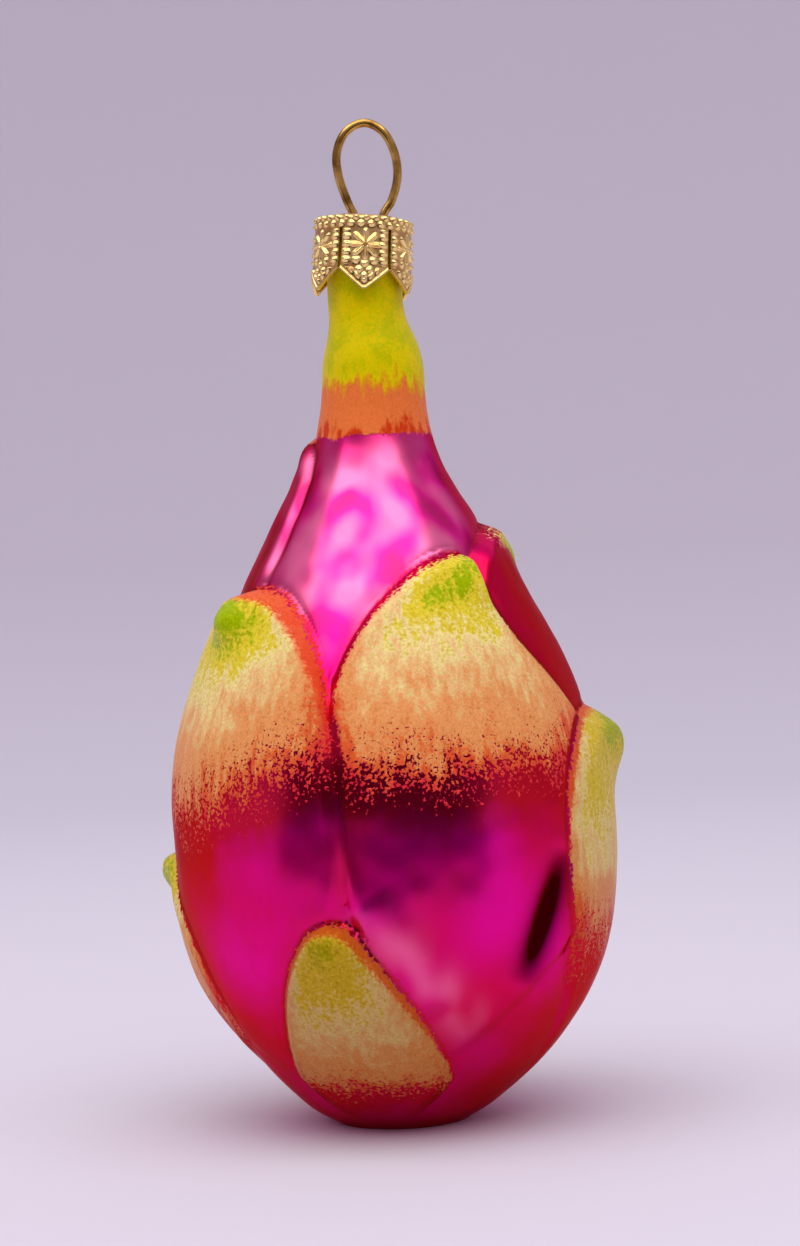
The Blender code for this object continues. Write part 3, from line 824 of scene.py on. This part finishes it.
bpy.ops.mesh.delete(type="FACE")
bpy.ops.mesh.select_mode(type="VERT")
bpy.ops.mesh.select_all(action="SELECT")
bpy.ops.mesh.remove_doubles(threshold=0.000005)
bpy.ops.mesh.normals_make_consistent(inside=False)
bpy.ops.object.mode_set(mode="OBJECT")
sheet = cap.modifiers.new("sheet", "SOLIDIFY")
sheet.thickness = CAP_SHEET
sheet.offset = -1.0
bpy.ops.object.modifier_apply(modifier="sheet")
cap.data.transform(
    Matrix.Translation((CAP_CENTRE_X, 0.0, CAP_TOP)) @ Matrix.Rotation(CAP_TILT, 4, "Y")
)
bpy.ops.object.shade_smooth_by_angle(angle=math.radians(50))


# Stamped gilt brass. The raised beads and rays are painted paler, as highlight, and the recesses
# between them darker, as shade, in blotches; the sheet itself is satin from the rollers.
GILT_BRIGHT = linear("#FFDD90")
GILT_RECESS_SHADE = linear("#B0702A")
SATIN_MM = 0.25
FILM_MM = 2.2


def gild_cap():
    material, shader, place = new_material("stamped_gilt_brass")
    node = functools.partial(add_node, material)
    raised = node("Attribute", output="Fac", attribute_name="emboss")
    satin = node("TexNoise", {"Vector": place, "Scale": 1.0 / (SATIN_MM * MM), "Detail": 3.0})
    film = node("TexNoise", {"Vector": place, "Scale": 1.0 / (FILM_MM * MM), "Detail": 2.0})
    # Painted highlight and shade: paler where the pattern stands up, darker in the recesses
    raised_lightness = node("Math", (film, 0.55, raised), operation="MULTIPLY_ADD")
    colour = node("ValToRGB", (raised_lightness,), stops=((0.12, GILT_RECESS_SHADE), (0.55, GILT_BRIGHT)))
    rough = node(
        "MapRange",
        {"Value": satin, "From Min": 0.3, "From Max": 0.7, "To Min": 0.18, "To Max": 0.32},
    )
    bump = node("Bump", {"Strength": 0.35, "Distance": 0.02 * MM, "Height": satin})
    links = material.node_tree.links
    links.new(colour, shader.inputs["Base Color"])
    links.new(rough, shader.inputs["Roughness"])
    links.new(bump, shader.inputs["Normal"])
    shader.inputs["Metallic"].default_value = 1.0
    return material


cap.data.materials.append(gild_cap())
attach(cap, "root")
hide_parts("crown_cap")


# The hanging wire. One length of springy brass wire bent into a pear-shaped eye, its legs
# pushed through the cap's two holes so that they spread and grip inside the neck.
WIRE_RADIUS = 0.50 * MM
WIRE_POINTS = 180
WIRE_ROUTE = (
    (-2.0, 91.5),
    (-0.75, 97.0),
    (WIRE_LEFT_LEG_X / MM, 102.0),
    (-1.88, 105.4),
    (-2.72, 108.2),
    (-2.86, 110.9),
    (-1.75, 113.3),
    (0.45, 114.3),
    (2.55, 113.2),
    (3.75, 110.8),
    (4.02, 108.0),
    (3.25, 105.3),
    (WIRE_RIGHT_LEG_X / MM, 102.9),
    (1.7, 97.0),
    (2.0, 91.5),
)

select_none()
bpy.ops.curve.primitive_bezier_curve_add()
wire = bpy.context.object
wire.name = "brass_hanging_wire"
wire.data.splines.clear()
spline = wire.data.splines.new("POLY")
bends = [(x * MM, 0.0, z * MM) for x, z in WIRE_ROUTE]
route = catmull_rom(bends, np.linspace(0.0, 1.0, WIRE_POINTS))
spline.points.add(WIRE_POINTS - 1)
for point, place in zip(spline.points, route):
    point.co = (*place, 1.0)
wire.data.bevel_depth = WIRE_RADIUS
wire.data.bevel_resolution = 6
wire.data.use_fill_caps = True
bpy.ops.object.convert(target="MESH")
wire = bpy.context.object
bpy.ops.object.mode_set(mode="EDIT")
bpy.ops.mesh.select_all(action="SELECT")
bpy.ops.mesh.remove_doubles(threshold=0.000005)
bpy.ops.mesh.normals_make_consistent(inside=False)
bpy.ops.object.mode_set(mode="OBJECT")
bpy.ops.object.shade_smooth_by_angle(angle=math.radians(50))


# Drawn brass wire. It is bright where it is handled and dulled brown elsewhere, with faint
# streaks along its length from the drawing die.
WIRE_BRIGHT = linear("#D8AC58")
WIRE_DULL = linear("#83591F")
TARNISH_MM = 2.6
STREAK_MM = 0.3


def tarnish_wire():
    material, shader, place = new_material("drawn_brass_wire")
    node = functools.partial(add_node, material)
    tarnish = node("TexNoise", {"Vector": place, "Scale": 1.0 / (TARNISH_MM * MM), "Detail": 4.0})
    drawn = node("Mapping", {"Vector": place, "Scale": (1.0, 1.0, 0.12)})
    streak = node("TexNoise", {"Vector": drawn, "Scale": 1.0 / (STREAK_MM * MM), "Detail": 2.0})
    colour = node("ValToRGB", (tarnish,), stops=((0.38, WIRE_DULL), (0.62, WIRE_BRIGHT)))
    rough = node(
        "MapRange",
        {"Value": tarnish, "From Min": 0.3, "From Max": 0.7, "To Min": 0.30, "To Max": 0.15},
    )
    bump = node("Bump", {"Strength": 0.25, "Distance": 0.02 * MM, "Height": streak})
    links = material.node_tree.links
    links.new(colour, shader.inputs["Base Color"])
    links.new(rough, shader.inputs["Roughness"])
    links.new(bump, shader.inputs["Normal"])
    shader.inputs["Metallic"].default_value = 1.0
    return material


wire.data.materials.append(tarnish_wire())
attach(wire, "root")
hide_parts("wire_hanger")


# Setting: a pale paper floor that curves up far away all round, painted greyer up there as
# shade, soft studio light from above and from behind, a dark flag before the ornament, an even
# pale room, and the camera level with the middle of the ornament, turned slightly.
FLOOR_PALE = linear("#DFDAE4")
BACKDROP_SHADE_GREY = linear("#D3CBD6")
FADE_LOW = 4 * MM
FADE_HIGH = 90 * MM
FLOOR_REACH = 0.55
COVE_RADIUS = 0.75
COVE_STEPS = 18
COVE_WALL = 0.2
CAMERA_DISTANCE = 300 * MM
CAMERA_SIDE = 2.04 * MM
CAMERA_HEIGHT = 56.66 * MM
CAMERA_ROLL = math.atan(0.0442)
PHOTO_PIXEL = 0.115 * MM
PHOTO_HEIGHT = 1246
SENSOR = 24.0

select_none()
bpy.ops.mesh.primitive_circle_add(vertices=96, radius=FLOOR_REACH, fill_type="NGON")
floor = bpy.context.object
floor.name = "studio_floor"
bpy.ops.object.mode_set(mode="EDIT")
bpy.ops.mesh.select_all(action="SELECT")
for step in range(COVE_STEPS):
    bend, new_bend = (0.5 * math.pi * (step + i) / COVE_STEPS for i in (0, 1))
    lift = COVE_RADIUS * (math.cos(bend) - math.cos(new_bend))
    reach, new_reach = (FLOOR_REACH + COVE_RADIUS * math.sin(b) for b in (bend, new_bend))
    bpy.ops.mesh.extrude_region_move(TRANSFORM_OT_translate={"value": (0.0, 0.0, lift)})
    bpy.ops.transform.resize(value=(new_reach / reach, new_reach / reach, 1.0))
bpy.ops.mesh.extrude_region_move(TRANSFORM_OT_translate={"value": (0.0, 0.0, COVE_WALL)})
bpy.ops.mesh.delete(type="ONLY_FACE")
bpy.ops.object.mode_set(mode="OBJECT")
bpy.ops.object.shade_smooth()


def paint_floor():
    material, shader, place = new_material("matt_backdrop_paper")
    height = add_node(material, "SeparateXYZ", (place,), "Z")
    # Painted shade: the backdrop turns greyer the higher it rises
    shaded_higher = add_node(
        material, "MapRange", {"Value": height, "From Min": FADE_LOW, "From Max": FADE_HIGH}
    )
    colour = add_node(material, "Mix", (shaded_higher, FLOOR_PALE, BACKDROP_SHADE_GREY), data_type="RGBA")
    material.node_tree.links.new(colour, shader.inputs["Base Color"])
    shader.inputs["Roughness"].default_value = 0.9
    return material


floor.data.materials.append(paint_floor())


def soft_light(name, place, target, width, depth, watts):
    lamp = bpy.data.lights.new(name, "AREA")
    lamp.shape = "RECTANGLE"
    lamp.size = width
    lamp.size_y = depth
    lamp.energy = watts
    light = bpy.data.objects.new(name, lamp)
    bpy.context.collection.objects.link(light)
    light.location = place
    aim = Vector(target) - Vector(place)
    light.rotation_euler = aim.to_track_quat("-Z", "Y").to_euler()


soft_light(
    "overhead_softbox",
    place=(-0.05, -0.25, 0.75), target=(0.0, 0.0, 0.0), width=1.25, depth=0.80, watts=5.3,
)
soft_light(
    "back_softbox",
    place=(0.15, 0.75, 0.85), target=(0.15, 0.85, 0.0), width=1.2, depth=0.5, watts=0.6,
)

# A dark curved flag stands before the ornament, as the photographer does: it only shows as a
# soft dark patch in the lacquer, since neither the camera nor the lamps meet it
FLAG_DISTANCE = 170 * MM
FLAG_LOW = 4 * MM
FLAG_HIGH = 104 * MM
FLAG_HALF_TURN = 48.0
FLAG_MIDDLE = -4.0
FLAG_CLOTH = linear("#19191D")
ROOM_COLOUR = linear("#C6C0CC")

select_none()
bpy.ops.mesh.primitive_grid_add(x_subdivisions=24, y_subdivisions=4, size=1)
flag = bpy.context.object
flag.name = "dark_flag"
grid = positions_of(flag)
turn = np.radians(grid[:, 0] * 2.0 * FLAG_HALF_TURN + FLAG_MIDDLE)
rise = FLAG_LOW + (FLAG_HIGH - FLAG_LOW) * (grid[:, 1] + 0.5)
bowed = FLAG_DISTANCE * np.stack((np.sin(turn), -np.cos(turn)), axis=1)
move_to(flag, np.column_stack((bowed, rise)))
cloth = bpy.data.materials.new("black_flag_cloth")
cloth.use_nodes = True
cloth.node_tree.nodes["Principled BSDF"].inputs["Base Color"].default_value = FLAG_CLOTH
flag.data.materials.append(cloth)
flag.visible_camera = False
flag.visible_diffuse = False
flag.visible_shadow = False
flag.visible_transmission = False

world = bpy.context.scene.world or bpy.data.worlds.new("studio")
bpy.context.scene.world = world
world.use_nodes = True
background = world.node_tree.nodes["Background"]
background.inputs["Color"].default_value = ROOM_COLOUR
background.inputs["Strength"].default_value = 1.0

lens = bpy.data.cameras.new("photo_camera")
lens.sensor_fit = "VERTICAL"
lens.sensor_height = SENSOR
lens.lens = SENSOR * CAMERA_DISTANCE / (PHOTO_HEIGHT * PHOTO_PIXEL)
lens.clip_start = 0.01
camera = bpy.data.objects.new("photo_camera", lens)
bpy.context.collection.objects.link(camera)
upright = Matrix.Rotation(math.radians(90), 4, "X")
rolled = Matrix.Rotation(CAMERA_ROLL, 4, "Y")
camera.matrix_world = (
    Matrix.Translation((CAMERA_SIDE, -CAMERA_DISTANCE, CAMERA_HEIGHT)) @ rolled @ upright
)
bpy.context.scene.camera = camera
bpy.context.scene.view_settings.view_transform = "Standard"
